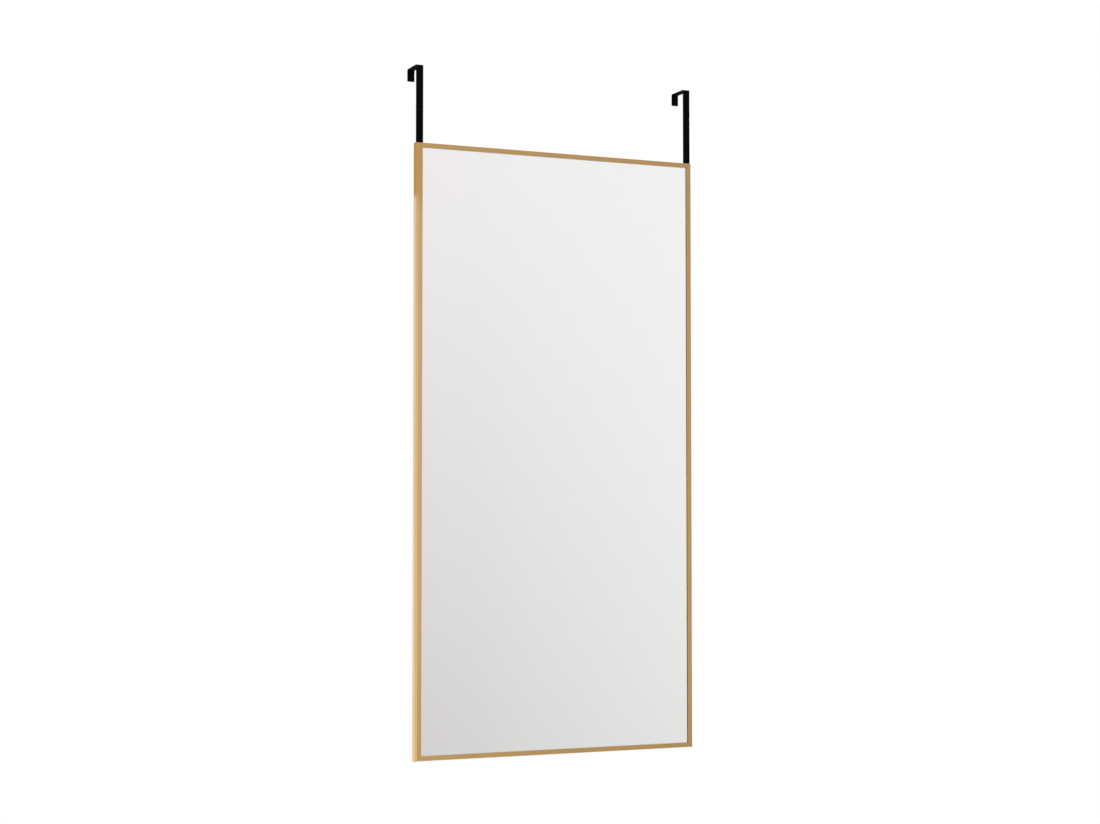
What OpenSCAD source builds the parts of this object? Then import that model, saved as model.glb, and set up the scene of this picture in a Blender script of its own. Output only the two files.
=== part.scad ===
// Framed wall mirror that hangs over a door leaf on two strap hooks.
// X runs across the mirror, Y from the mirror towards the door and Z up.
// The origin lies on the door's front top edge, half way across the mirror.
// Sections are drawn with u measured inwards from the frame's outer face
// and t measured backwards from the frame's front face.

/* [Mirror] */
// Width over the frame
mirror_w = 600; // [300:10:900]
// Height of the frame
mirror_h = 1200; // [500:10:1800]

/* [Frame section] */
// Depth of the frame from front to back
frame_depth = 22; // [21:0.5:32]
// Width of the frame's face
face_w = 11; // [9:0.1:14]
// Thickness of the outer wall
wall_t = 1.4; // [1:0.1:1.8]
// Thickness of the lip in front of the glass
lip_t = 2.2; // [1.2:0.1:2.4]
// Thickness of the web behind the backing board
web_t = 1.2; // [0.8:0.1:1.8]
// Thickness of the rear flange
flange_t = 1.4; // [1:0.1:2]
// Width of the long bevel, measured across the face
bevel_w = 2.2; // [1:0.1:2.8]
// Depth of the long bevel, measured along the side
bevel_d = 9.6; // [5:0.1:14]
// Rounding of the frame's outer edges
edge_r = 0.5; // [0.2:0.05:0.55]
// Clearance of the parts inside the section, and radius of its inner fillets
fit_gap = 0.4; // [0.3:0.05:0.5]

/* [Glass and backing] */
// Thickness of the glass
glass_t = 2; // [2:0.5:4]
// Gap between the edge of the glass and the floor of its groove
glass_gap = 0.7; // [0.5:0.1:1]
// Thickness of the silver coating and its paint
coating_t = 0.1; // [0.05:0.05:0.2]
// Thickness of the safety film on the back of the glass
film_t = 0.1; // [0.05:0.05:0.3]
// Thickness of the backing board
board_t = 2; // [1:0.25:3]
// Thickness of the foam tape behind the board
tape_t = 0.35; // [0.2:0.05:1]
// Gap in front of the glass and between the stacked sheets
sheet_gap = 0.05; // [0.02:0.01:0.1]
// Length of a setting block under the glass
block_l = 40; // [20:5:80]

/* [Hooks] */
// Thickness of the door leaf that the hooks fit
door_t = 35; // [18:1:50]
// Play between the door leaf and the hook's lip
door_play = 1; // [0.5:0.1:4]
// Width of the strap
strap_w = 14.5; // [11:0.5:25]
// Thickness of the strap
strap_t = 1.8; // [1.2:0.1:2.4]
// Height of the hook above the frame
hook_rise = 152.7; // [60:0.1:300]
// Height of the hook's lip
lip_h = 24; // [12:1:60]
// Inner radius of the bends
bend_r = 1.2; // [0.6:0.1:3]
// Length of the tang inside the frame
tang_l = 46; // [36:1:80]
// Clearance round the tang in its slot
slot_gap = 0.3; // [0.1:0.05:0.4]
// Radius of the strap's end corners
end_r = 1; // [0.4:0.1:3]

/* [Pads] */
// Thickness of the felt under a hook
felt_t = 1; // [0.5:0.1:3]
// Length of the felt under a hook
felt_l = 28; // [10:1:34]
// Thickness of a bumper on the back of the frame
bumper_t = 1; // [0.5:0.1:4]
// Diameter of a bumper
bumper_d = 7.5; // [4:0.5:8.5]
// Distance of a bumper from the top or bottom of the frame
bumper_off = 70; // [50:1:200]

/* [Corner joints] */
// Length of a corner key's leg
key_l = 38; // [32:1:80]
// Thickness of a corner key
key_t = 5; // [3:0.5:6]
// Nominal diameter of a set screw
screw_d = 4; // [3:0.5:5]
// Distance of a set screw from the outer corner
screw_off = 26; // [22:1:28]
// Running clearance of a set screw in its hole
thread_gap = 0.1; // [0.05:0.05:0.15]
// Width of a set screw's hexagon socket
socket_w = 2; // [1.3:0.1:2.2]

/* [Hidden] */

$fn = 48;
left = -1;
right = 1;
top = 1;
bottom = -1;
arc_steps = 5;
cut = 1;

// Frame planes: back to the bumpers, top to the hooks
front_y = -bumper_t - frame_depth;
top_z = felt_t + strap_t - hook_rise;
bottom_z = top_z - mirror_h;
middle_z = (top_z + bottom_z) / 2;

// Depths in the section, from the front: glass, coating, film, board, tape, web
glass_front = lip_t + sheet_gap;
coating_front = glass_front + glass_t + sheet_gap;
film_front = coating_front + coating_t + sheet_gap;
board_front = film_front + film_t + sheet_gap;
tape_front = board_front + board_t;
web_front = tape_front + tape_t;
web_rear = web_front + web_t;
flange_front = frame_depth - flange_t;

// Distances in the section, from the outer face
groove_u = bevel_w * (1 - lip_t / bevel_d) + wall_t;
sheet_u = groove_u + glass_gap;
channel_u = wall_t + fit_gap;
key_w = face_w - wall_t - 2 * fit_gap;
screw_u = channel_u + key_w / 2;
tip_r = min(lip_t, web_t, flange_t) / 4;

// Set screws reach from the strap to the front of the rear flange
screw_l = flange_front - web_rear - strap_t;
screw_hole = screw_d + 2 * thread_gap;
access_hole = screw_hole + fit_gap;
point_l = screw_d / 4;

// Hook planes in Y: the strap lies on the back of the web
strap_y = front_y + web_rear;
strap_back_y = strap_y + strap_t;
lip_y = door_t + door_play;
hook_top = felt_t + strap_t;
outer_bend = bend_r + strap_t;

gold = "#cfa976";
black = "#131313";
zinc = "#a5a8ab";
steel = "#6d7074";
felt = "#2b2b2d";
rubber = "#202022";

// Points of the arc that rounds corner b between a and c
function unit(v) = v / norm(v);
function corner_arc(a, b, c, r) =
    let (to_a = unit(a - b),
         to_c = unit(c - b),
         half = acos(to_a * to_c) / 2,
         centre = b + unit(to_a + to_c) * r / sin(half),
         first = b + to_a * r / tan(half) - centre,
         last = b + to_c * r / tan(half) - centre,
         start = atan2(first.y, first.x),
         sweep = (atan2(last.y, last.x) - start + 540) % 360 - 180)
    [for (i = [0:arc_steps]) centre + r * [cos(start + sweep * i / arc_steps),
                                          sin(start + sweep * i / arc_steps)]];

// Outline with every corner rounded; each corner is [[x, y], radius]
function rounded(corners) =
    let (n = len(corners))
    [for (i = [0:n - 1])
        each corner_arc(corners[(i + n - 1) % n][0], corners[i][0],
                        corners[(i + 1) % n][0], corners[i][1])];

// Extrudes a flat XZ shape backwards from depth y
module plate(y, thickness) {
    translate([0, y + thickness, 0])
        rotate([90, 0, 0])
            linear_extrude(thickness)
                children();
}

// Cylinder along Y from depth y
module pin(y, length, diameter) {
    translate([0, y, 0])
        rotate([-90, 0, 0])
            cylinder(h = length, d = diameter);
}

// Moves a shape drawn inwards from [0, 0] to one outer corner of the frame
module at_corner(side, end) {
    translate([side * mirror_w / 2, front_y, end == top ? top_z : bottom_z])
        mirror([side == right ? 1 : 0, 0, 0])
            mirror([0, 0, end == top ? 1 : 0])
                children();
}

// Extruded section: bevelled outer wall, front lip, middle web and rear flange
frame_section = rounded([
    [[face_w, 0], tip_r],
    [[bevel_w, 0], edge_r],
    [[0, bevel_d], edge_r],
    [[0, frame_depth], edge_r],
    [[face_w, frame_depth], tip_r],
    [[face_w, flange_front], tip_r],
    [[wall_t, flange_front], fit_gap],
    [[wall_t, web_rear], fit_gap],
    [[face_w, web_rear], tip_r],
    [[face_w, web_front], tip_r],
    [[groove_u, web_front], tip_r],
    [[groove_u, lip_t], tip_r],
    [[face_w, lip_t], tip_r]]);

// Bar with mitred ends and set screw holes; its outer face looks up at z = 0
module bar(length) {
    mitre = face_w + cut;
    difference() {
        intersection() {
            translate([-length / 2, 0, 0])
                rotate([90, 0, 90])
                    linear_extrude(length)
                        polygon([for (p = frame_section) [p.y, -p.x]]);
            plate(-cut, frame_depth + 2 * cut)
                polygon([[-length / 2, 0], [length / 2, 0],
                         [length / 2 - mitre, -mitre], [mitre - length / 2, -mitre]]);
        }
        for (side = [left, right])
            translate([side * (length / 2 - screw_off), 0, -screw_u])
                pin(flange_front - cut, flange_t + 2 * cut, access_hole);
    }
}

module frame_top_bar() {
    color(gold)
        difference() {
            translate([0, front_y, top_z])
                bar(mirror_w);
            for (side = [left, right])
                at_corner(side, top)
                    tang_slot();
        }
}

// Slot in the top wall that a hook's tang drops through
module tang_slot() {
    translate([channel_u - slot_gap, web_rear, -cut])
        cube([strap_w - channel_u + 2 * slot_gap, strap_t + slot_gap, wall_t + fit_gap + cut]);
}

module frame_bottom_bar() {
    color(gold)
        translate([0, front_y, bottom_z])
            rotate([0, 180, 0])
                bar(mirror_w);
}

module frame_side_bar(side) {
    color(gold)
        translate([side * mirror_w / 2, front_y, middle_z])
            rotate([0, side * 90, 0])
                bar(mirror_h);
}

// L-shaped key in the rear channels of two bars, with a tapped hole in each leg
module corner_key(side, end) {
    a = channel_u;
    b = channel_u + key_w;
    color(zinc)
        at_corner(side, end)
            difference() {
                plate(flange_front - key_t, key_t)
                    polygon(concat([[a, a]],
                                   leg_end([key_l, a], [key_l, b]),
                                   [[b, b]],
                                   leg_end([b, key_l], [a, key_l])));
                for (place = screw_places())
                    translate([place.x, 0, place.y])
                        pin(flange_front - key_t - cut, key_t + 2 * cut, screw_hole);
            }
}

// Leg end with its two corners cut off at 45 degrees
function leg_end(p, q) =
    let (c = key_w / 5,
         across = unit(q - p),
         along = p.x + q.x > p.y + q.y ? [1, 0] : [0, 1])
    [p - along * c, p + across * c, q - across * c, q - along * c];

// Set screw places at a corner: first the leg in the top or bottom bar, then the side bar's
function screw_places() = [[screw_off, screw_u], [screw_u, screw_off]];

// Two hexagon socket set screws; the side bar's presses the hook's tang at the top corners
module set_screws(side, end) {
    tang_seat = end == top ? strap_t : 0;
    seats = [web_rear, web_rear + tang_seat];
    color(steel)
        at_corner(side, end)
            for (i = [0, 1])
                translate([screw_places()[i].x, seats[i], screw_places()[i].y])
                    set_screw();
}

// Screw body with a blunt cone point at the front and its socket at the back
module set_screw() {
    socket_l = screw_l / 3;
    difference() {
        union() {
            rotate([-90, 0, 0])
                cylinder(h = point_l, d1 = screw_d / 2, d2 = screw_d);
            pin(point_l, screw_l - point_l, screw_d);
        }
        translate([0, screw_l - socket_l, 0])
            rotate([-90, 0, 0])
                cylinder(h = socket_l + cut, d = socket_w / cos(30), $fn = 6);
    }
}

// Sheet that fills the frame's groove
module sheet(y, thickness) {
    translate([sheet_u - mirror_w / 2, front_y + y, bottom_z + sheet_u])
        cube([mirror_w - 2 * sheet_u, thickness, mirror_h - 2 * sheet_u]);
}

module mirror_glass() {
    color("#dfe6e6")
        sheet(glass_front, glass_t);
}

module mirror_coating() {
    color("#b9bdc0")
        sheet(coating_front, coating_t);
}

module safety_film() {
    color("#e8e8e4")
        sheet(film_front, film_t);
}

module backing_board() {
    color("#8a6a4a")
        sheet(board_front, board_t);
}

// Foam strip between the board and the web; side strips stop at the top and bottom strips
module foam_tape(length, inset) {
    tape_w = face_w - sheet_u - tip_r;
    translate([inset - length / 2, tape_front, -sheet_u - tape_w])
        cube([length - 2 * inset, tape_t, tape_w]);
}

module foam_tape_level(end) {
    color(rubber)
        translate([0, front_y, end == top ? top_z : bottom_z])
            rotate([0, end == top ? 0 : 180, 0])
                foam_tape(mirror_w, sheet_u);
}

module foam_tape_upright(side) {
    color(rubber)
        translate([side * mirror_w / 2, front_y, middle_z])
            rotate([0, side * 90, 0])
                foam_tape(mirror_h, face_w);
}

// Two rubber blocks that carry the glass in the bottom bar, clear of the groove's fillet
module setting_blocks() {
    color(rubber)
        for (side = [left, right])
            translate([side * mirror_w / 4 - block_l / 2, front_y + glass_front + tip_r,
                       bottom_z + groove_u])
                cube([block_l, glass_t - tip_r, glass_gap]);
}

// Hook bent from flat strap: tang and shoulder, riser, arm over the door and lip behind it
module hook(side) {
    tang_end = top_z - tang_l;
    outline = rounded([
        [[strap_y, tang_end], strap_t / 4],
        [[strap_y, hook_top], outer_bend],
        [[lip_y + strap_t, hook_top], outer_bend],
        [[lip_y + strap_t, hook_top - lip_h], strap_t / 4],
        [[lip_y, hook_top - lip_h], strap_t / 4],
        [[lip_y, felt_t], bend_r],
        [[strap_back_y, felt_t], bend_r],
        [[strap_back_y, tang_end], strap_t / 4]]);
    color(black)
        translate([side * mirror_w / 2, 0, 0])
            mirror([side == right ? 1 : 0, 0, 0])
                difference() {
                    rotate([90, 0, 90])
                        linear_extrude(strap_w)
                            polygon(outline);
                    // Shoulder: the tang is narrower, to clear the outer wall
                    translate([-cut, strap_y - cut, tang_end - cut])
                        cube([channel_u + cut, strap_t + 2 * cut, tang_l + cut]);
                    end_corners([channel_u, strap_w], tang_end, strap_y);
                    end_corners([0, strap_w], hook_top - lip_h, lip_y);
                }
}

// Takes the sharp corners off a strap end that lies between two edges at height z
module end_corners(edges, z, y) {
    for (i = [0, 1])
        translate([edges[i], 0, z])
            mirror([i, 0, 0])
                plate(y - cut, strap_t + 2 * cut)
                    difference() {
                        translate([-cut, -cut])
                            square(end_r + cut);
                        translate([end_r, end_r])
                            circle(r = end_r);
                    }
}

// Felt on the underside of an arm, where it rests on the door
module felt_pad(side) {
    felt_w = strap_w - 2 * end_r;
    color(felt)
        translate([side * (mirror_w - strap_w) / 2 - felt_w / 2, (door_t - felt_l) / 2, 0])
            cube([felt_w, felt_l, felt_t]);
}

// Round rubber bumper on the back of a side bar
module bumper(side, end) {
    color(rubber)
        at_corner(side, end)
            translate([face_w / 2, frame_depth, bumper_off])
                rotate([-90, 0, 0])
                    union() {
                        cylinder(h = bumper_t / 2, d = bumper_d);
                        translate([0, 0, bumper_t / 2])
                            cylinder(h = bumper_t / 2, d1 = bumper_d, d2 = bumper_d - bumper_t);
                    }
}

frame_top_bar();
frame_bottom_bar();
frame_side_bar(left);  // frame_left_bar
frame_side_bar(right);  // frame_right_bar
corner_key(left, top);  // corner_key_top_left
corner_key(right, top);  // corner_key_top_right
corner_key(left, bottom);  // corner_key_bottom_left
corner_key(right, bottom);  // corner_key_bottom_right
set_screws(left, top);  // set_screws_top_left
set_screws(right, top);  // set_screws_top_right
set_screws(left, bottom);  // set_screws_bottom_left
set_screws(right, bottom);  // set_screws_bottom_right
mirror_glass();
mirror_coating();
safety_film();
backing_board();
foam_tape_level(top);  // foam_tape_top
foam_tape_level(bottom);  // foam_tape_bottom
foam_tape_upright(left);  // foam_tape_left
foam_tape_upright(right);  // foam_tape_right
setting_blocks();
hook(left);  // hook_left
hook(right);  // hook_right
felt_pad(left);  // felt_pad_left
felt_pad(right);  // felt_pad_right
bumper(left, top);  // bumper_top_left
bumper(right, top);  // bumper_top_right
bumper(left, bottom);  // bumper_bottom_left
bumper(right, bottom);  // bumper_bottom_right
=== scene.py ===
"""Finishes, soft parts and studio for a framed mirror that hangs over a door.

All places are in metres, with Z up. The origin lies on the door's front top edge, half way across
the mirror, which faces -Y. Patterns read the Object coordinates in millimetres.
"""

import math

import bpy
import numpy as np
from bpy.props import FloatProperty, FloatVectorProperty, PointerProperty
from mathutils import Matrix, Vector


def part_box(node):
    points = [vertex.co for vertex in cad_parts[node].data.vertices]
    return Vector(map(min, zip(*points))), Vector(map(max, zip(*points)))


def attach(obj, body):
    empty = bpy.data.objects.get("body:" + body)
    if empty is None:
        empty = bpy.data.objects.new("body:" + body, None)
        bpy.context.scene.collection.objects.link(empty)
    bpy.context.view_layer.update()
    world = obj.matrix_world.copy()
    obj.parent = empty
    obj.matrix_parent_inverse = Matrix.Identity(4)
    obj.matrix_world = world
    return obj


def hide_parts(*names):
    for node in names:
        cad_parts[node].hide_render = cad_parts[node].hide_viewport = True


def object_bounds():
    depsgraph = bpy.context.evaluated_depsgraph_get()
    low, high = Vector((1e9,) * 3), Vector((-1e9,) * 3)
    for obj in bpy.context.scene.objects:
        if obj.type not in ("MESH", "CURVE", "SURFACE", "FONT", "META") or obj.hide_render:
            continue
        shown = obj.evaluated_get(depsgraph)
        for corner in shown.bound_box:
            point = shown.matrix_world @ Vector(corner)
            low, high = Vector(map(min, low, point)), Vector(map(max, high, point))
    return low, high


bl_info = {
    "name": "Over the door mirror",
    "version": (1, 0, 0),
    "blender": (4, 5, 0),
    "location": "View3D > Sidebar > Door mirror",
    "description": "Finishes, soft parts and studio of a framed mirror for a door",
    "category": "Object",
}

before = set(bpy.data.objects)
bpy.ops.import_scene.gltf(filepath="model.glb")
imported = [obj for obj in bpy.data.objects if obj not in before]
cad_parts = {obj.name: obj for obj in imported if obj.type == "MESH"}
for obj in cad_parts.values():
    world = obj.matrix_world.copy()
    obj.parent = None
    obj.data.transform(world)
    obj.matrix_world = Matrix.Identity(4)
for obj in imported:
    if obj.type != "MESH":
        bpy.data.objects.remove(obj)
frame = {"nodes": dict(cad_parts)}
CAD_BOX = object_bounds()

MM = 0.001
PER_METRE = (1000.0, 1000.0, 1000.0)
BODY = "root"
DOOR_HEIGHT = 2.0
X, Y, Z = 0, 1, 2

BARS_UPRIGHT = ("frame_left_bar", "frame_right_bar")
BARS_LEVEL = ("frame_top_bar", "frame_bottom_bar")
CORNERS = ("top_left", "top_right", "bottom_left", "bottom_right")
SIDES = ("left", "right")

# Turns of the boards around the mirror are in degrees, from straight in front of it towards +X.
# The seen turns and heights of the backdrop are those that the glass shows at its edges, and
# W_MOST and V_MOST say how far past them its colours still change. Near their rims the boards
# fade to a pale level, which is one for glass and one for metal.
BACKDROP_TURNS, BACKDROP_TOP = (-85, 85), 2.6
SEEN_TURNS, SEEN_HEIGHTS = (16.0, 31.8), (0.57, -1.81)
W_MOST, V_MOST = 1.3, 1.05
BOARD_TURNS, BOARD_TOP = (176, 256), 1.1
PALE_IN_GLASS, PALE_IN_METAL = 0.97, 0.98


# ---------------------------------------------------------------- sizes and colours


def colour(name, text, default):
    """A colour property with linear red, green and blue."""
    return FloatVectorProperty(
        name=name, description=text, default=default, size=3, min=0, soft_max=1, subtype="COLOR"
    )


def length(name, text, default, low, high):
    """A length property in metres."""
    return FloatProperty(
        name=name, description=text, default=default, min=low, max=high,
        precision=5, subtype="DISTANCE", unit="LENGTH",
    )


def share(name, text, default):
    """A property from 0 to 1."""
    return FloatProperty(name=name, description=text, default=default, min=0, max=1, subtype="FACTOR")


class FrameFinish(bpy.types.PropertyGroup):
    """Gold anodised bars."""

    gold: colour("Gold", "Colour of the anodised face", (0.60, 0.372, 0.152))
    # The worn edge colour is partly wear and partly a painted highlight that pales the arrises of the
    # bars.
    worn_and_highlit_edge: colour("Worn edge", "Colour where the edges are rubbed", (0.80, 0.66, 0.43))
    seam: colour("Seam", "Colour in the mitre seams", (0.10, 0.065, 0.035))
    roughness: share("Roughness", "Roughness of the face", 0.085)
    matt: share("Matt", "Extra roughness inside the groove", 0.6)
    stretch: share("Stretch", "How much more the face scatters across the bar than along it", 0.9)
    seal: share("Seal", "Strength of the clear sealed layer", 0.6)
    # This share sets both the edge wear and the painted highlight along the arrises.
    edge_wear_and_highlight: share("Wear", "How much the edges are rubbed", 0.5)
    line_pitch: length("Line pitch", "Distance of the drawing lines", 0.00016, 0.00005, 0.001)
    line_depth: length("Line depth", "Depth of the drawing lines", 0.000004, 0, 0.0001)
    seam_width: length("Seam width", "Width of a mitre seam", 0.00022, 0.00005, 0.001)


class MirrorFinish(bpy.types.PropertyGroup):
    """Glass, silver coating and film."""

    silver: colour("Silver", "Colour of the silver coating", (0.936, 0.934, 0.931))
    tarnish: colour("Tarnish", "Colour of the coating at its very edge", (0.42, 0.40, 0.38))
    glass: colour("Glass", "Tint of the glass", (0.995, 0.997, 0.996))
    film: colour("Film", "Colour of the safety film", (0.72, 0.72, 0.70))
    ripple: length("Ripple", "Height of the waves in the glass", 0.0000015, 0, 0.00005)
    haze: share("Haze", "Roughness of the wiped marks on the glass", 0.02)


class StrapFinish(bpy.types.PropertyGroup):
    """Black powder coat of the hooks."""

    black: colour("Black", "Colour of the powder coat", (0.0022, 0.0022, 0.0023))
    rubbed: colour("Rubbed", "Colour of the powder coat along its edges", (0.006, 0.006, 0.0062))
    roughness: share("Roughness", "Roughness of the powder coat", 0.5)
    grain: length("Grain", "Size of the powder coat's grain", 0.00045, 0.0001, 0.002)
    grain_depth: length("Grain depth", "Height of the grain", 0.000012, 0, 0.0001)


class BackFinish(bpy.types.PropertyGroup):
    """Backing board, corner keys and set screws."""

    board_dark: colour("Board, dark", "Darkest fibres of the board", (0.105, 0.052, 0.024))
    board_light: colour("Board, light", "Lightest fibres of the board", (0.285, 0.165, 0.085))
    board_worn: colour("Board, worn", "Colour of the board where it is scuffed", (0.36, 0.24, 0.15))
    fibre: length("Fibre", "Length of the board's fibres", 0.007, 0.001, 0.02)
    zinc: colour("Zinc", "Colour of the cast keys", (0.38, 0.39, 0.41))
    zinc_worn: colour("Zinc, worn", "Colour of the keys' rubbed edges", (0.58, 0.59, 0.61))
    steel: colour("Steel", "Colour of the set screws", (0.16, 0.17, 0.19))
    steel_worn: colour("Steel, worn", "Colour of the screws' rubbed edges", (0.42, 0.43, 0.45))


class SoftParts(bpy.types.PropertyGroup):
    """Felt, foam and rubber."""

    felt: colour("Felt", "Colour of the felt", (0.004, 0.004, 0.0042))
    foam: colour("Foam", "Colour of the foam tape", (0.03, 0.03, 0.031))
    rubber: colour("Rubber", "Colour of the rubber", (0.02, 0.02, 0.0205))
    rubber_worn: colour("Rubber, worn", "Colour of the rubber where it is rubbed", (0.07, 0.07, 0.072))
    felt_nap: length("Nap", "How uneven the felt's surface is", 0.00003, 0, 0.0002)
    foam_wave: length("Foam wave", "How uneven the edge of the foam tape is", 0.00006, 0, 0.0003)


class Studio(bpy.types.PropertyGroup):
    """Floor, backdrop, lamps and camera."""

    floor: colour("Floor", "Colour of the floor", (0.86, 0.86, 0.855))
    warm_near: colour(
        "Warm board, back", "Colour of the warm board's end behind the mirror", (0.70, 0.52, 0.27)
    )
    warm_far: colour(
        "Warm board, side", "Colour of the warm board beside the mirror", (0.85, 0.71, 0.42)
    )
    pale_near: colour(
        "Pale board, back", "Colour under the warm board, behind the mirror", (1.17, 1.23, 1.22)
    )
    pale_far: colour(
        "Pale board, side", "Colour under the warm board, beside the mirror", (1.13, 1.13, 1.08)
    )
    floor_z: length("Floor height", "Height of the floor", -DOOR_HEIGHT, -3, 0)
    floor_radius: length("Floor radius", "Radius of the floor", 9.0, 2, 30)
    shadow_radius: length("Shadow radius", "Radius in which the floor keeps its shadow", 1.5, 0.2, 9)
    wall_radius: length("Backdrop radius", "Distance of the backdrop in front of the mirror", 4.0, 2, 9)
    wall_foot: length("Backdrop foot", "Radius of the bend at the backdrop's foot", 0.7, 0.05, 2)
    board_radius: length("Board radius", "Distance of the boards beside the mirror", 3.0, 1, 9)
    board_edge: length("Board edge", "Height of the warm board's lower edge", 0.220, -1, 2)
    ambient: share("Ambient", "Strength of the even light", 0.84)
    key_power: FloatProperty(
        name="Key lamp", description="Power of the soft lamp",
        default=42, min=0, subtype="POWER", unit="POWER",
    )
    key_place: FloatVectorProperty(
        name="Key place", description="Where the soft lamp stands",
        default=(-2.3, -2.9, 1.6), subtype="TRANSLATION", unit="LENGTH",
    )
    key_size: length("Key size", "Side of the soft lamp", 3.0, 0.2, 4)
    camera_place: FloatVectorProperty(
        name="Camera place", description="Where the camera stands",
        default=(-1.61192, -3.64632, -0.87024), subtype="TRANSLATION", unit="LENGTH",
    )
    camera_turn: FloatProperty(
        name="Camera turn", description="How far the camera is turned to the right",
        default=math.radians(23.7331), subtype="ANGLE", unit="ROTATION",
    )
    camera_tilt: FloatProperty(
        name="Camera tilt", description="How far the camera looks up",
        default=math.radians(2.4972), subtype="ANGLE", unit="ROTATION",
    )
    camera_lens: FloatProperty(
        name="Lens", description="Focal length in millimetres",
        default=65.2244, min=20, max=200, unit="CAMERA",
    )
    camera_rise: FloatProperty(
        name="Lens rise", description="Vertical shift as a share of the picture's width",
        default=0.012, min=-0.2, max=0.2,
    )


class DoorMirror(bpy.types.PropertyGroup):
    """All settings of the mirror."""

    frame: PointerProperty(type=FrameFinish, name="Frame", description="Finish of the bars")
    mirror: PointerProperty(type=MirrorFinish, name="Mirror", description="Finish of the glass")
    strap: PointerProperty(type=StrapFinish, name="Straps", description="Finish of the hooks")
    back: PointerProperty(type=BackFinish, name="Back", description="Finish of the back")
    soft: PointerProperty(type=SoftParts, name="Soft parts", description="Felt, foam and rubber")
    studio: PointerProperty(type=Studio, name="Studio", description="Floor, lamps and camera")


# ---------------------------------------------------------------- shading


class Shader:
    """The nodes of one material. Every input takes a plain value or another node's output."""

    MIX_FACTOR, MIX_A, MIX_B, MIX_RESULT = 0, 6, 7, 2

    def __init__(self, name):
        self.material = bpy.data.materials.new(name)
        self.material.use_nodes = True
        self.tree = self.material.node_tree
        self.tree.nodes.clear()
        self.surface = self.node("ShaderNodeBsdfPrincipled")
        self.out = self.node("ShaderNodeOutputMaterial", {"Surface": self.surface.outputs[0]})
        self.place = self.scaled(self.node("ShaderNodeTexCoord").outputs["Object"], PER_METRE)

    def node(self, kind, inputs=None, **settings):
        """A new node with its settings and inputs."""
        made = self.tree.nodes.new(kind)
        for key, value in settings.items():
            setattr(made, key, value)
        for key, value in (inputs or {}).items():
            self.put(made.inputs[key], value)
        return made

    def put(self, socket, value):
        """Links an output to a socket, or sets the socket's own value."""
        if isinstance(value, bpy.types.NodeSocket):
            self.tree.links.new(value, socket)
        elif socket.type == "RGBA":
            socket.default_value = (*value[:3], 1)
        else:
            socket.default_value = value

    def set(self, **inputs):
        """Sets inputs of the surface; an underscore stands for a space."""
        for key, value in inputs.items():
            self.put(self.surface.inputs[key.replace("_", " ")], value)

    def scaled(self, vector, by):
        """A vector with each part multiplied."""
        return self.node("ShaderNodeVectorMath", {0: vector, 1: by}, operation="MULTIPLY").outputs[0]

    def math(self, operation, a, b=0.0, c=0.0):
        """One sum on numbers."""
        return self.node("ShaderNodeMath", {0: a, 1: b, 2: c}, operation=operation).outputs[0]

    def noise(self, vector, scale, detail=3.0, roughness=0.5, bend=0.0):
        """Noise from 0 to 1, with scale in features per millimetre."""
        inputs = {"Vector": vector, "Scale": scale, "Detail": detail, "Roughness": roughness,
                  "Distortion": bend}
        return self.node("ShaderNodeTexNoise", inputs).outputs[0]

    def cells(self, vector, scale, feature="F1"):
        """Distance in a pattern of cells, with scale in cells per millimetre."""
        inputs = {"Vector": vector, "Scale": scale}
        return self.node("ShaderNodeTexVoronoi", inputs, feature=feature).outputs["Distance"]

    def step(self, value, low, high, to_low=0.0, to_high=1.0):
        """Smooth step of a value between low and high."""
        inputs = {"Value": value, "From Min": low, "From Max": high,
                  "To Min": to_low, "To Max": to_high}
        return self.node("ShaderNodeMapRange", inputs, interpolation_type="SMOOTHSTEP").outputs[0]

    def level(self, value, to_low, to_high):
        """A value from 0 to 1 brought between two levels."""
        inputs = {"Value": value, "To Min": to_low, "To Max": to_high}
        return self.node("ShaderNodeMapRange", inputs).outputs[0]

    def mix(self, factor, a, b):
        """Blend of two colours."""
        inputs = {self.MIX_FACTOR: factor, self.MIX_A: a, self.MIX_B: b}
        return self.node("ShaderNodeMix", inputs, data_type="RGBA").outputs[self.MIX_RESULT]

    def tone(self, base, value, low, high):
        """A colour made darker or lighter by a value from 0 to 1."""
        inputs = {0: base, "Scale": self.level(value, low, high)}
        return self.node("ShaderNodeVectorMath", inputs, operation="SCALE").outputs[0]

    def bump(self, height, depth, under=None):
        """Normal of a relief; height is from 0 to 1 and depth in metres."""
        inputs = {"Height": height, "Strength": 1.0, "Distance": depth}
        if under is not None:
            inputs["Normal"] = under
        return self.node("ShaderNodeBump", inputs).outputs[0]

    def edge(self, radius):
        """1 along sharp edges, where the rounded normal turns away from the plain one."""
        rounded = self.node("ShaderNodeBevel", {"Radius": radius}, samples=4).outputs[0]
        plain = self.node("ShaderNodeNewGeometry").outputs["Normal"]
        same = self.node("ShaderNodeVectorMath", {0: rounded, 1: plain}, operation="DOT_PRODUCT")
        return self.step(same.outputs["Value"], 0.99, 0.80)

    def axes(self):
        """X, Y and Z of the place in millimetres."""
        return self.node("ShaderNodeSeparateXYZ", {0: self.place}).outputs

    def from_rim(self, low, high):
        """Millimetres inwards from the nearer side and from the nearer end of an upright box."""
        x, _, z = self.axes()
        from_side = self.math("SUBTRACT", high[X] / MM, self.math("ABSOLUTE", x))
        from_top = self.math("SUBTRACT", high[Z] / MM, z)
        from_bottom = self.math("SUBTRACT", z, low[Z] / MM)
        return from_side, self.math("MINIMUM", from_top, from_bottom)


def dress(nodes, shader):
    """Gives CAD nodes a finish."""
    for name in nodes:
        mesh = frame["nodes"][name].data
        mesh.materials.clear()
        mesh.materials.append(shader.material)


def frame_box():
    """Lowest and highest corner of the four bars together."""
    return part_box(BARS_LEVEL[1])[0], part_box(BARS_LEVEL[0])[1]


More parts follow.
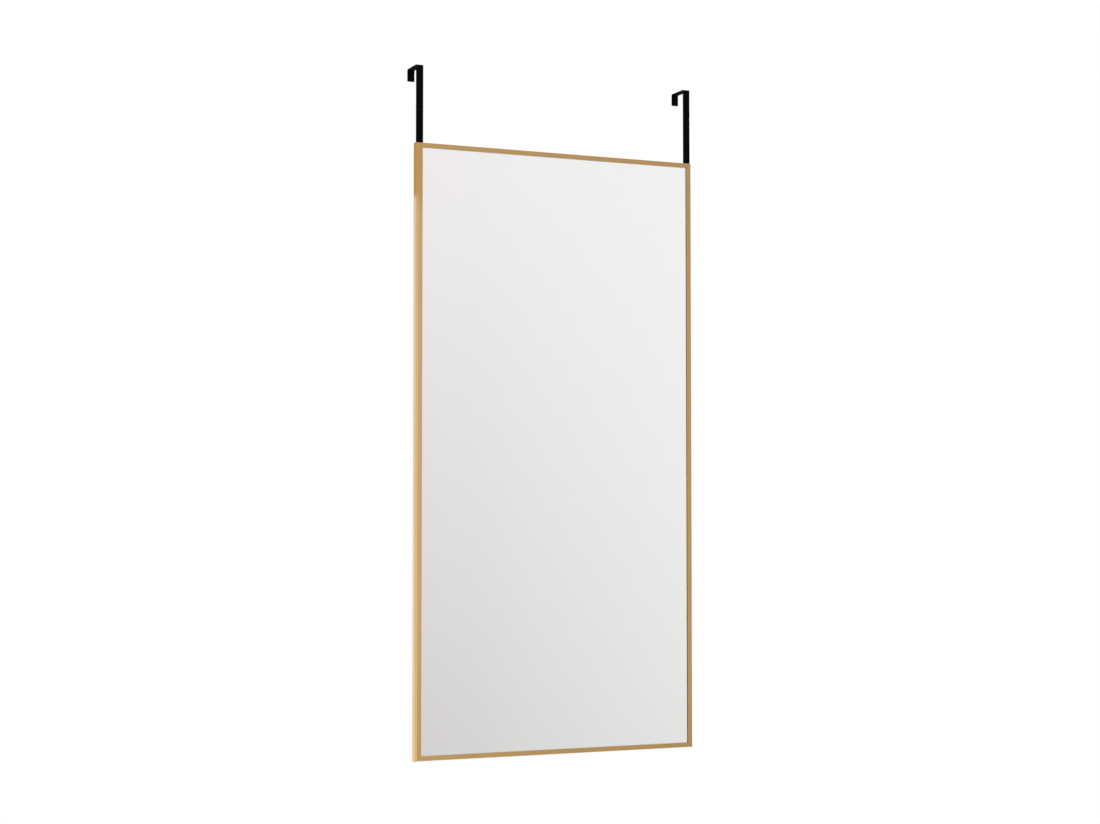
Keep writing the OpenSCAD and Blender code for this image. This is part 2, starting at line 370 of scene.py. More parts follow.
def node_points(name):
    """The points of a CAD node, one in each row."""
    vertices = frame["nodes"][name].data.vertices
    points = np.empty(len(vertices) * 3)
    vertices.foreach_get("co", points)
    return points.reshape(-1, 3)


def colour_of(value):
    """A colour property as plain numbers."""
    return tuple(value[:])


# ---------------------------------------------------------------- meshes


def skin(rings, poles):
    """Closed skin over rings of points, [rings, points, 3], with one pole at each end.

    Four-sided faces join point j of ring i to its neighbours in ring i + 1, and fans of triangles
    join the first and the last ring to their poles. If the enclosed volume, a sixth of the sum of
    a . (b x c) over the triangles, is negative, all faces are turned round.
    """
    count, around = rings.shape[:2]
    points = np.vstack([rings.reshape(-1, 3), poles])
    row, here = np.meshgrid(np.arange(count - 1) * around, np.arange(around), indexing="ij")
    there = (here + 1) % around
    corners = (row + here, row + there, row + around + there, row + around + here)
    quads = np.stack(corners, -1).reshape(-1, 4)
    ring = np.arange(around)
    after = (ring + 1) % around
    last, pole = (count - 1) * around, count * around
    fans = np.vstack([
        np.stack([np.full(around, pole), after, ring], -1),
        np.stack([np.full(around, pole + 1), last + ring, last + after], -1),
    ])
    triangles = np.vstack([quads[:, :3], quads[:, [0, 2, 3]], fans])
    a, b, c = (points[triangles[:, i]] - points.mean(0) for i in range(3))
    if np.einsum("ij,ij", a, np.cross(b, c)) < 0:
        quads, fans = quads[:, ::-1], fans[:, ::-1]
    return points, quads, fans


def make_mesh(name, *parts):
    """One mesh of several skins, each with its points, quads and triangles, smooth shaded."""
    points, faces, start = [], [], 0
    for own, quads, fans in parts:
        points.append(own)
        faces += (quads + start).tolist() + (fans + start).tolist()
        start += len(own)
    mesh = bpy.data.meshes.new(name)
    mesh.from_pydata(np.vstack(points).tolist(), [], faces)
    mesh.polygons.foreach_set("use_smooth", np.ones(len(mesh.polygons), bool))
    mesh.update()
    return mesh


def add_piece(name, mesh, shader, replaced):
    """A piece of the mirror that stands for CAD nodes and rides on the body."""
    piece = bpy.data.objects.new(name, mesh)
    bpy.context.scene.collection.objects.link(piece)
    mesh.materials.append(shader.material)
    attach(piece, BODY)
    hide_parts(*replaced)
    return piece


def power(value, exponent):
    """The size of a value raised to an exponent, with the value's sign."""
    return np.sign(value) * np.abs(value) ** exponent


def pillow(low, high, squareness=0.22, edge=0.5, rows=28, around=96):
    """Flat rounded block between two corners, thin along Z.

    With v from -90 to 90 degrees and u round the outline, the point is at
    x = a |cos v|^edge |cos u|^squareness, y = b |cos v|^edge |sin u|^squareness and
    z = c |sin v|^edge, each with the sign of its sine or cosine.
    """
    low, high = np.array(low), np.array(high)
    centre, half = (low + high) / 2, (high - low) / 2
    v = np.linspace(-np.pi / 2, np.pi / 2, rows + 2)[1:-1, None]
    u = np.linspace(0, 2 * np.pi, around, endpoint=False)[None, :]
    flat = np.abs(np.cos(v)) ** edge
    rings = centre + half * np.stack([
        flat * power(np.cos(u), squareness),
        flat * power(np.sin(u), squareness),
        power(np.sin(v), edge) * np.ones_like(u),
    ], -1)
    poles = centre + half * np.array([[0, 0, -1], [0, 0, 1]])
    return skin(rings, poles)


def nap(points, depth, pitch):
    """Uneven surface: each point moves towards the middle, by up to depth along each axis.

    The share of depth is (1 + w) / 2 along X and Z and (1 - w) / 2 along Y, where w is a product
    of three sines of the places divided by pitch, at rates that share no common factor.
    """
    x, y, z = (points / pitch).T
    wave = np.sin(2.1 * x + 1.3 * y) * np.sin(1.7 * y - 0.9 * x + 3.1 * z)
    wave = wave * np.sin(0.61 * x + 0.37 * y)
    shares = 0.5 + 0.5 * np.stack([wave, -wave, wave], -1)
    return points - np.sign(points - points.mean(0)) * depth * shares


def dome(low, high, rows=14, around=48):
    """Button that stands on its back at the lowest Y and has its crown at the highest Y.

    A profile is turned round Y. Its foot widens from 0.97 R on the back to the radius R at a
    height of 0.12 H. Above it, with v from 0 to 90 degrees, the radius is R cos(v)^0.45, and the
    rest of the height H grows as sin(v)^0.8.
    """
    low, high = np.array(low), np.array(high)
    centre, half = (low + high) / 2, (high - low) / 2
    rise = high[Y] - low[Y]
    v = np.linspace(0, np.pi / 2, rows + 1)[:-1]
    foot_radius, foot_height = 0.97, 0.12
    radius = np.concatenate([[foot_radius], np.cos(v) ** 0.45])
    height = np.concatenate([[0.0], foot_height + (1 - foot_height) * np.sin(v) ** 0.8])
    u = np.linspace(0, 2 * np.pi, around, endpoint=False)[None, :]
    rings = np.stack([
        centre[X] + half[X] * radius[:, None] * np.cos(u),
        low[Y] + rise * height[:, None] * np.ones_like(u),
        centre[Z] + half[Z] * radius[:, None] * np.sin(u),
    ], -1)
    poles = np.array([[centre[X], low[Y], centre[Z]], [centre[X], high[Y], centre[Z]]])
    return skin(rings, poles)


def tape(low, high, wave, steps=180, around=20):
    """Foam strip carried along the longest side of its box.

    Its section is a rounded rectangle, half size times |cos u|^0.4 and |sin u|^0.4 with their
    signs. Its steps crowd towards the ends, where it shrinks as a quarter circle, and its free
    edges wander inwards by a sum of two sines along the strip.
    """
    low, high = np.array(low), np.array(high)
    along = int(np.argmax(high - low))
    thin = int(np.argmin(high - low))
    wide = 3 - along - thin
    centre, half = (low + high) / 2, (high - low) / 2
    end = half[wide]
    crowding, tip = 1.6, end * 1e-3
    s = np.linspace(-1, 1, steps)
    s = np.sign(s) * (1 - (1 - np.abs(s)) ** crowding) * (half[along] - tip)
    close = np.clip((np.abs(s) - (half[along] - end)) / end, 0, 1)
    closing = np.sqrt(1 - close**2)
    slow, quick = 0.021, 0.0077
    drift = wave * (0.5 + 0.3 * np.sin(s / slow) + 0.2 * np.sin(s / quick + 1.3))
    u = np.linspace(0, 2 * np.pi, around, endpoint=False)[None, :]
    rings = np.zeros((steps, around, 3))
    rings[..., along] = centre[along] + s[:, None]
    rings[..., wide] = centre[wide] + ((half[wide] - drift) * closing)[:, None] * power(np.cos(u), 0.4)
    rings[..., thin] = centre[thin] + (half[thin] * closing**0.3)[:, None] * power(np.sin(u), 0.4)
    poles = np.tile(centre, (2, 1))
    poles[:, along] += np.array([-1, 1]) * half[along]
    return skin(rings, poles)


def turned_sheet(name, centre, profile, turns, columns):
    """Sheet made by turning a profile of radii and heights about an upright line.

    At turn t the profile's point (R, h) lies at x = cx + R sin t, y = cy - R cos t, z = h, so that
    a turn of 0 lies straight in front of the mirror. Returns the mesh, and the turn, radius and
    height of each of its points.
    """
    radius, height = (np.repeat(column[:, None], columns, 1) for column in np.array(profile).T)
    turn = np.repeat(np.linspace(*turns, columns)[None, :], len(profile), 0)
    across, ahead = centre[X] + radius * np.sin(turn), centre[Y] - radius * np.cos(turn)
    return sheet_mesh(name, np.stack([across, ahead, height], -1)), turn, radius, height


def disc(name, radius, height, rings=40, around=96):
    """Round level sheet: at distance r and turn t the point is at (r cos t, r sin t, height).

    The distances grow with the square of the ring's number, so that the middle is fine.
    """
    distances = radius * np.linspace(0.01, 1, rings) ** 2
    r, t = np.meshgrid(distances, np.linspace(0, 2 * np.pi, around))
    return sheet_mesh(name, np.stack([r * np.cos(t), r * np.sin(t), np.full_like(r, height)], -1))


def sheet_mesh(name, points):
    """Open mesh of four-sided faces over a grid of points."""
    rows, columns = points.shape[:2]
    row, column = np.meshgrid(np.arange(rows - 1), np.arange(columns - 1), indexing="ij")
    first = (row * columns + column).ravel()
    faces = np.stack([first, first + 1, first + columns + 1, first + columns], -1)
    mesh = bpy.data.meshes.new(name)
    mesh.from_pydata(points.reshape(-1, 3).tolist(), [], faces.tolist())
    mesh.update()
    return mesh


def add_stage(name, mesh, material):
    """A thing of the studio, which isn't part of the mirror."""
    thing = bpy.data.objects.new(name, mesh)
    bpy.context.scene.collection.objects.link(thing)
    mesh.materials.append(material)
    return thing


# ---------------------------------------------------------------- finishes


def in_groove(s):
    """1 on the skin of the groove that holds the glass and the board, and 0 elsewhere.

    The groove runs from just in front of the glass to a little behind the board, and lies further
    in than the bar's bevel is wide. All distances are in millimetres.
    """
    glass_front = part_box("mirror_glass")[0][Y] / MM
    board_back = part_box("backing_board")[1][Y] / MM
    y = s.axes()[Y]
    behind_lip = s.step(y, glass_front - 0.10, glass_front - 0.06)
    before_web = s.step(y, board_back + 0.6, board_back + 0.5)
    inside = s.step(s.math("MINIMUM", *s.from_rim(*frame_box())), 2.4, 2.6)
    return s.math("MULTIPLY", s.math("MULTIPLY", behind_lip, before_web), inside)


def anodised(name, along, finish):
    """Gold anodised aluminium, drawn along one axis.

    Fine lines run along the bar. Edges are rubbed in places to a paler colour, which is partly
    wear and partly a painted highlight along the arrises. A dark seam lies where the distance from
    the side of the frame equals the distance from its top or bottom. The groove that holds the glass
    and the board keeps the matt skin that the bar had before it was brushed.
    """
    s = Shader(name)
    stretch = [1.0, 1.0, 1.0]
    stretch[along] = 0.003
    drawn = s.scaled(s.place, stretch)
    lines = s.noise(drawn, MM / finish.line_pitch, 4.0, 0.7)
    bands = s.noise(drawn, 0.6, 2.0)
    clouds = s.noise(s.place, 0.009, 3.0)
    marks = s.noise(s.place, 0.11, 5.0, 0.68)
    grain = s.noise(s.place, 22.0, 2.0)

    gold = s.tone(colour_of(finish.gold), lines, 0.95, 1.05)
    gold = s.tone(gold, bands, 0.96, 1.04)
    gold = s.tone(gold, clouds, 0.965, 1.035)
    # Painted highlight and wear: the edge mask pales the arrises, in patches, towards the worn edge
    # colour.
    rubbed = s.math("MULTIPLY", s.edge(0.0005), s.step(marks, 0.40, 0.62))
    rubbed = s.math("MULTIPLY", rubbed, finish.edge_wear_and_highlight)
    gold = s.mix(rubbed, gold, colour_of(finish.worn_and_highlit_edge))

    off_mitre = s.math("ABSOLUTE", s.math("SUBTRACT", *s.from_rim(*frame_box())))
    width = finish.seam_width / MM
    seam = s.step(off_mitre, width, width * 0.3)
    s.set(
        Base_Color=s.mix(seam, gold, colour_of(finish.seam)),
        Metallic=1.0,
        Anisotropic=finish.stretch,
        Coat_Weight=finish.seal,
        Coat_Roughness=0.03,
        Coat_IOR=1.5,
    )
    rough = s.math("MULTIPLY", s.level(lines, 0.85, 1.15), finish.roughness)
    rough = s.math("ADD", rough, s.step(marks, 0.52, 0.75, 0.0, 0.045))
    rough = s.math("ADD", rough, s.math("MULTIPLY", in_groove(s), finish.matt))
    s.set(Roughness=s.math("ADD", rough, s.math("MULTIPLY", seam, 0.4)))
    axis = [0.0, 0.0, 0.0]
    axis[along] = 1.0
    plain = s.node("ShaderNodeNewGeometry").outputs["Normal"]
    across = s.node("ShaderNodeVectorMath", {0: plain, 1: axis}, operation="CROSS_PRODUCT")
    relief = s.bump(grain, 0.0000015, s.bump(lines, finish.line_depth))
    relief = s.bump(s.math("SUBTRACT", 1.0, seam), 0.00006, relief)
    s.set(Tangent=across.outputs[0], Normal=relief)
    return s


def powder_coat(finish):
    """Black powder coat with a fine orange peel, a little paler where its edges rub."""
    s = Shader("strap_powder_coat")
    peel = s.noise(s.place, MM / finish.grain, 2.0, 0.45)
    fine = s.noise(s.place, 3.2 * MM / finish.grain, 3.0, 0.6)
    clouds = s.noise(s.place, 0.03, 3.0)
    marks = s.noise(s.place, 0.35, 4.0, 0.65)
    rubbed = s.math("MULTIPLY", s.edge(0.0004), s.step(marks, 0.40, 0.66, 0.15, 1.0))
    black = s.tone(colour_of(finish.black), peel, 0.8, 1.2)
    black = s.tone(black, clouds, 0.85, 1.15)
    s.set(
        Base_Color=s.mix(rubbed, black, colour_of(finish.rubbed)),
        Metallic=0.0,
        Specular_IOR_Level=0.02,
        Roughness=s.math("ADD", s.level(fine, -0.06, 0.06), finish.roughness),
        Normal=s.bump(fine, finish.grain_depth * 0.3, s.bump(peel, finish.grain_depth)),
    )
    return s


def silvering(finish):
    """Silver coating that follows the slow waves of the glass, with a trace of tarnish at its rim."""
    s = Shader("silver_coating")
    from_rim = s.math("MINIMUM", *s.from_rim(*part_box("mirror_coating")))
    creep = s.noise(s.place, 0.8, 5.0, 0.65)
    tarnish = s.step(s.math("SUBTRACT", from_rim, s.level(creep, -1.5, 2.5)), 1.0, 0.0)
    tint = s.tone(colour_of(finish.silver), s.noise(s.place, 0.004, 2.0), 0.994, 1.0)
    waves = s.noise(s.place, 0.008, 2.0)
    s.set(
        Base_Color=s.mix(tarnish, tint, colour_of(finish.tarnish)),
        Metallic=1.0,
        Roughness=s.level(tarnish, 0.0, 0.35),
        Normal=s.bump(waves, finish.ripple),
    )
    return s


def float_glass(finish):
    """Clear float glass with faint wiped marks."""
    s = Shader("float_glass")
    wiped = s.noise(s.scaled(s.place, (1.0, 1.0, 0.25)), 0.012, 5.0, 0.6, 1.2)
    dust = s.cells(s.place, 0.35)
    haze = s.math("MULTIPLY", s.step(wiped, 0.55, 0.8), finish.haze)
    specks = s.step(dust, 0.05, 0.02, 0.0, 0.05)
    s.set(
        Base_Color=s.tone(colour_of(finish.glass), wiped, 0.996, 1.0),
        Transmission_Weight=1.0,
        IOR=1.52,
        Roughness=s.math("ADD", haze, specks),
    )
    return s


def safety_film(finish):
    """Safety film with a woven relief."""
    s = Shader("safety_film")
    x, _, z = s.axes()
    warp = s.math("SINE", s.math("MULTIPLY", x, 5.2))
    weft = s.math("SINE", s.math("MULTIPLY", z, 5.2))
    weave = s.math("MULTIPLY", warp, weft)
    slack = s.noise(s.place, 0.02, 4.0)
    s.set(
        Base_Color=s.tone(s.tone(colour_of(finish.film), weave, 0.95, 1.0), slack, 0.93, 1.05),
        Roughness=s.level(slack, 0.38, 0.55),
        Normal=s.bump(weave, 0.00002),
    )
    return s


def hardboard(finish):
    """Pressed wood fibres: long pale ones over short dark ones, scuffed in places."""
    s = Shader("hardboard")
    per_fibre = MM / finish.fibre
    one = s.noise(s.scaled(s.place, (1.0, 1.0, 0.3)), 5.0 * per_fibre, 5.0, 0.62, 2.2)
    two = s.noise(s.scaled(s.place, (0.3, 1.0, 1.0)), 5.0 * per_fibre, 5.0, 0.62, 2.2)
    fibres = s.math("MULTIPLY", s.math("ADD", one, two), 0.5)
    chips = s.cells(s.scaled(s.place, (1.0, 1.0, 0.6)), 2.4 * per_fibre)
    clouds = s.noise(s.place, 0.006, 4.0, 0.6)
    scuffs = s.noise(s.scaled(s.place, (0.15, 1.0, 1.0)), 0.05, 6.0, 0.7)
    dark, light = colour_of(finish.board_dark), colour_of(finish.board_light)
    wood = s.mix(s.step(fibres, 0.38, 0.62), dark, light)
    wood = s.tone(wood, s.step(chips, 0.0, 0.8), 0.78, 1.10)
    wood = s.tone(wood, clouds, 0.82, 1.18)
    worn = s.math("MULTIPLY", s.step(scuffs, 0.58, 0.74), 0.45)
    s.set(
        Base_Color=s.mix(worn, wood, colour_of(finish.board_worn)),
        Roughness=s.math("ADD", s.level(fibres, 0.48, 0.66), s.math("MULTIPLY", worn, 0.3)),
        Specular_IOR_Level=0.35,
        Normal=s.bump(fibres, 0.00005),
    )
    return s


def cast_zinc(finish):
    """Cast zinc with a grainy skin and bright rubbed edges."""
    s = Shader("cast_zinc")
    grain = s.noise(s.place, 4.0, 4.0, 0.6)
    flow = s.noise(s.place, 0.18, 4.0, 0.6, 1.5)
    rubbed = s.math("MULTIPLY", s.edge(0.0004), 0.5)
    zinc = s.tone(s.tone(colour_of(finish.zinc), grain, 0.88, 1.12), flow, 0.8, 1.15)
    s.set(
        Base_Color=s.mix(rubbed, zinc, colour_of(finish.zinc_worn)),
        Metallic=1.0,
        Roughness=s.level(flow, 0.34, 0.56),
        Normal=s.bump(grain, 0.00002),
    )
    return s


def dark_steel(finish):
    """Blackened steel with fine rings from turning, and bright socket edges."""
    s = Shader("dark_steel")
    rings = s.noise(s.scaled(s.place, (0.05, 1.0, 0.05)), 7.0, 3.0, 0.6)
    spots = s.noise(s.place, 1.3, 4.0, 0.6)
    rubbed = s.math("MULTIPLY", s.edge(0.00025), 0.6)
    steel = s.tone(s.tone(colour_of(finish.steel), rings, 0.85, 1.15), spots, 0.8, 1.2)
    s.set(
        Base_Color=s.mix(rubbed, steel, colour_of(finish.steel_worn)),
        Metallic=1.0,
        Roughness=s.level(spots, 0.28, 0.44),
        Normal=s.bump(rings, 0.000015),
    )
    return s


def pressed_felt(finish):
    """Pressed felt: crossed fibres, a trace of sheen and small pills."""
    s = Shader("pressed_felt")
    one = s.noise(s.scaled(s.place, (1.0, 0.25, 1.0)), 5.0, 4.0, 0.7, 1.5)
    two = s.noise(s.scaled(s.place, (0.25, 1.0, 1.0)), 5.0, 4.0, 0.7, 1.5)
    fibres = s.math("MAXIMUM", one, two)
    pills = s.noise(s.place, 0.8, 3.0)
    s.set(
        Base_Color=s.tone(s.tone(colour_of(finish.felt), fibres, 0.55, 1.5), pills, 0.85, 1.2),
        Roughness=s.level(fibres, 0.88, 1.0),
        Sheen_Weight=0.01,
        Specular_IOR_Level=0.02,
        Normal=s.bump(pills, 0.00003, s.bump(fibres, 0.00006)),
    )
    return s


def cell_foam(finish):
    """Closed cell foam: round cells of uneven size."""
    s = Shader("cell_foam")
    cells = s.cells(s.place, 5.0)
    clouds = s.noise(s.place, 0.2, 3.0)
    s.set(
        Base_Color=s.tone(s.tone(colour_of(finish.foam), cells, 0.7, 1.3), clouds, 0.85, 1.15),
        Roughness=s.level(cells, 0.75, 0.92),
        Specular_IOR_Level=0.2,
        Normal=s.bump(cells, 0.00003),
    )
    return s


def matte_rubber(finish):
    """Matte rubber with a fine moulded grain, greyer where it is rubbed."""
    s = Shader("matte_rubber")
    grain = s.noise(s.place, 9.0, 3.0, 0.6)
    clouds = s.noise(s.place, 0.5, 3.0)
    bloom = s.step(s.noise(s.place, 1.4, 4.0, 0.65), 0.52, 0.75, 0.0, 0.3)
    rubber = s.tone(s.tone(colour_of(finish.rubber), grain, 0.85, 1.15), clouds, 0.85, 1.15)
    s.set(
        Base_Color=s.mix(bloom, rubber, colour_of(finish.rubber_worn)),
        Roughness=s.level(clouds, 0.55, 0.72),
        Specular_IOR_Level=0.3,
        Normal=s.bump(grain, 0.000012),
    )
    return s


# ---------------------------------------------------------------- operators


class DOORMIRROR_OT_bars(bpy.types.Operator):
    """Finish the four bars in gold anodised aluminium, drawn along each bar"""

    bl_idname = "door_mirror.bars"
    bl_label = "Frame bars"

    def execute(self, context):
        finish = context.scene.door_mirror.frame
        dress(BARS_UPRIGHT, anodised("gold_upright", Z, finish))
        dress(BARS_LEVEL, anodised("gold_level", X, finish))
        return {"FINISHED"}


class DOORMIRROR_OT_corners(bpy.types.Operator):
    """Finish the corner keys in cast zinc and their set screws in dark steel"""

    bl_idname = "door_mirror.corners"
    bl_label = "Corner keys and set screws"

    def execute(self, context):
        finish = context.scene.door_mirror.back
        dress([f"corner_key_{corner}" for corner in CORNERS], cast_zinc(finish))
        dress([f"set_screws_{corner}" for corner in CORNERS], dark_steel(finish))
        return {"FINISHED"}


class DOORMIRROR_OT_mirror(bpy.types.Operator):
    """Finish the glass, its silver coating and the safety film"""

    bl_idname = "door_mirror.mirror"
    bl_label = "Mirror glass, coating and film"

    def execute(self, context):
        finish = context.scene.door_mirror.mirror
        dress(["mirror_glass"], float_glass(finish))
        dress(["mirror_coating"], silvering(finish))
        dress(["safety_film"], safety_film(finish))
        return {"FINISHED"}


class DOORMIRROR_OT_board(bpy.types.Operator):
    """Finish the backing board as pressed wood fibre"""

    bl_idname = "door_mirror.board"
    bl_label = "Backing board"

    def execute(self, context):
        dress(["backing_board"], hardboard(context.scene.door_mirror.back))
        return {"FINISHED"}


class DOORMIRROR_OT_hooks(bpy.types.Operator):
    """Finish the two strap hooks in black powder coat"""

    bl_idname = "door_mirror.hooks"
    bl_label = "Strap hooks"

    def execute(self, context):
        dress([f"hook_{side}" for side in SIDES], powder_coat(context.scene.door_mirror.strap))
        return {"FINISHED"}


class DOORMIRROR_OT_felt(bpy.types.Operator):
    """Build the felt under the two hooks"""

    bl_idname = "door_mirror.felt"
    bl_label = "Felt strips"

    def execute(self, context):
        soft = context.scene.door_mirror.soft
        shader = pressed_felt(soft)
        for side in SIDES:
            node = f"felt_pad_{side}"
            points, quads, fans = pillow(*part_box(node), edge=0.35)
            points = nap(points, depth=soft.felt_nap, pitch=0.9 * MM)
            name = f"felt_strip_{side}"
            piece = add_piece(name, make_mesh(name, (points, quads, fans)), shader, [node])
        return {"FINISHED"}


class DOORMIRROR_OT_foam(bpy.types.Operator):
    """Build the foam tape between the backing board and the frame"""

    bl_idname = "door_mirror.foam"
    bl_label = "Foam tape"

    def execute(self, context):
        soft = context.scene.door_mirror.soft
        shader = cell_foam(soft)
        for edge in ("top", "bottom", *SIDES):
            node = f"foam_tape_{edge}"
            name = f"foam_strip_{edge}"
            mesh = make_mesh(name, tape(*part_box(node), wave=soft.foam_wave))
            piece = add_piece(name, mesh, shader, [node])
        return {"FINISHED"}


class DOORMIRROR_OT_rubber(bpy.types.Operator):
    """Build the rubber bumpers behind the frame and the blocks under the glass"""

    bl_idname = "door_mirror.rubber"
    bl_label = "Bumpers and setting blocks"

    def execute(self, context):
        shader = matte_rubber(context.scene.door_mirror.soft)
        for corner in CORNERS:
            node = f"bumper_{corner}"
            name = f"bumper_dome_{corner}"
            add_piece(name, make_mesh(name, dome(*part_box(node))), shader, [node])
        node = "setting_blocks"
        points = node_points(node)
        halves = [points[points[:, X] * side > 0] for side in (-1, 1)]
        blocks = [pillow(p.min(0), p.max(0), squareness=0.15, edge=0.3) for p in halves]
        name = "glass_rest_blocks"
        add_piece(name, make_mesh(name, *blocks), shader, [node])
        return {"FINISHED"}


# ---------------------------------------------------------------- studio


def light_path(shader):
    """1 for rays from the camera and for rays reflected or let through, and 0 for all others."""
    path = shader.node("ShaderNodeLightPath").outputs
    seen = shader.math("MAXIMUM", path["Is Camera Ray"], path["Is Glossy Ray"])
    return shader.math("MAXIMUM", seen, path["Is Transmission Ray"])


def smooth(value, low, high):
    """Smooth step of an array between low and high."""
    t = np.clip((value - low) / (high - low), 0, 1)
    return t * t * (3 - 2 * t)


def between(part, first, last):
    """first where part is 0 and last where it is 1, in a straight line."""
    return first + (last - first) * part


def faded(colours, fade, pale):
    """Colours that pass to one pale level as fade goes from 0 to 1."""
    return between(fade[..., None], colours, pale)


def paint(mesh, name, colours):
    """Stores a grid of colours on the points of a mesh."""
    flat = np.concatenate([colours.reshape(-1, 3), np.ones((len(mesh.vertices), 1))], 1)
    mesh.attributes.new(name, "FLOAT_COLOR", "POINT").data.foreach_set("color", flat.ravel())


def glow(name, for_metal, for_glass):
    """A board that gives off its painted colours, with one painting each for metal and for glass."""
    s = Shader(name)
    metal = s.node("ShaderNodeAttribute", attribute_name=for_metal).outputs["Color"]
    glass = s.node("ShaderNodeAttribute", attribute_name=for_glass).outputs["Color"]
    through = s.node("ShaderNodeLightPath").outputs["Is Transmission Ray"]
    light = s.node("ShaderNodeEmission", {"Color": s.mix(through, metal, glass)})
    s.put(s.out.inputs["Surface"], light.outputs[0])
    s.material.cycles.emission_sampling = "NONE"
    return s.material


def reflected_only(thing):
    """Shows a board in metal and glass alone."""
    thing.visible_camera = False
    thing.visible_diffuse = False
    thing.visible_shadow = False
    thing.visible_volume_scatter = False


def backdrop_profile(studio):
    """Radii and heights along the floor, up a quarter circle and up the wall."""
    wall, foot, low = studio.wall_radius, studio.wall_foot, studio.floor_z + 2 * MM
    out = np.linspace(0.02, wall - foot, 30, endpoint=False)
    bend = np.linspace(0, np.pi / 2, 17)
    up = np.linspace(low + foot, BACKDROP_TOP, 61)[1:]
    return np.concatenate([
        np.stack([out, np.full_like(out, low)], -1),
        np.stack([wall - foot + foot * np.sin(bend), low + foot * (1 - np.cos(bend))], -1),
        np.stack([np.full_like(up, wall), up], -1),
    ])


def glass_colours(w, v):
    """What the glass shows: a grey that falls downwards, with a trace of red at its left.

    At the left edge it falls from 0.928 by 0.235 v, and at the right edge from 0.975 by
    0.127 v^1.6. Between them the three numbers change with w in straight lines.
    """
    w = np.clip(w, 0, W_MOST)
    grey = between(w, 0.928, 0.975) - between(w, 0.235, 0.127) * v ** between(w, 1.0, 1.6)
    red = np.array([0.013, -0.013, -0.004])
    left = 1 - smooth(w, 0, 0.4)
    return grey[..., None] * (1 + left[..., None] * red)


def metal_colours(w, v):
    """What the face of the frame shows: warm, with a cooler and brighter field at the lower left.

    The warm level falls from 0.78 to 0.72 with w. It is a little higher down the right, where it
    has more blue too, and lower at the foot of that side.
    """
    warm, cool, blue = np.array([[1.0, 0.97, 0.87], [0.19, 0.23, 0.32], [0.0, 0.0, 0.05]])
    field = 1 - smooth(w, -0.05, 0.35)
    field = field * smooth(v, 0.070, 0.095) * (1 - 0.9 * smooth(v, 0.75, V_MOST))
    w = np.clip(w, 0, W_MOST)
    right = w * smooth(v, 0.05, 0.35) * (1 - smooth(v, 0.85, 0.98))
    level = between(w, 0.78, 0.72) + 0.04 * right - 0.09 * w * smooth(v, 0.9, V_MOST)
    return level[..., None] * warm + field[..., None] * cool + right[..., None] * blue


def add_backdrop(studio):
    """Backdrop in front of the mirror, which is what the mirror and the face of the frame show.

    Across it runs w, which is 0 and 1 at the turns that the glass shows at its left and right
    edge. Down it runs v, which is 0 and 1 at the heights that the glass shows at its top and
    bottom. Towards the middle of the floor, the top and both ends the colours fade to nearly white.
    """
    profile, turns = backdrop_profile(studio), np.radians(BACKDROP_TURNS)
    mesh, turn, radius, height = turned_sheet("backdrop", (0, 0), profile, turns, 171)
    turn = np.degrees(turn)
    (left, right), (upper, lower) = SEEN_TURNS, SEEN_HEIGHTS
    w = (turn - left) / (right - left)
    v = np.clip((upper - height) / (upper - lower), 0, V_MOST)
    middle_turn = 8
    ends = smooth(np.abs(turn - middle_turn), 48, 76)
    top = smooth(height, 1.2, 2.5)
    middle = 1 - smooth(radius, 1.0, studio.wall_radius - 0.1)
    fade = 1 - (1 - ends) * (1 - top) * (1 - middle)
    paint(mesh, "glass_glow", faded(glass_colours(w, v), fade, PALE_IN_GLASS))
    paint(mesh, "metal_glow", faded(metal_colours(w, v), fade, PALE_IN_METAL))
    reflected_only(add_stage("backdrop", mesh, glow("backdrop_glow", "metal_glow", "glass_glow")))


def add_side_board(studio):
    """Board to the left of the mirror, which its left bar shows.

    It is pale up to a sharp line, a little less so just under it, and warm above it. The colours
    pass from the end behind the mirror to the end beside it, and fade to nearly white at both ends
    and at the top.
    """
    edge = studio.board_edge
    below = np.linspace(studio.floor_z, edge - MM, 16)
    above = np.linspace(edge + MM, BOARD_TOP, 24)
    heights = np.concatenate([below, above])
    profile = np.stack([np.full_like(heights, studio.board_radius), heights], -1)
    left_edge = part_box(BARS_UPRIGHT[0])[0]
    turns = np.radians(BOARD_TURNS)
    mesh, turn, _, height = turned_sheet("side_board", left_edge, profile, turns, 81)
    turn = np.degrees(turn)
    aside = smooth(turn, 204, 224)[..., None]
    warm = between(aside, np.array(studio.warm_near), np.array(studio.warm_far))
    pale = between(aside, np.array(studio.pale_near), np.array(studio.pale_far))
    pale = pale * (1 - 0.09 * smooth(height, edge - 0.5, edge))[..., None]
    shown = np.where(height[..., None] > edge, warm, pale)
    top = smooth(height, 0.6, BOARD_TOP)
    first, last = BOARD_TURNS
    ends = 1 - smooth(turn, first, 190) * (1 - smooth(turn, 238, last))
    fade = 1 - (1 - ends) * (1 - top)
    paint(mesh, "glow", faded(shown, fade, PALE_IN_METAL))
    reflected_only(add_stage("side_board", mesh, glow("side_board_glow", "glow", "glow")))


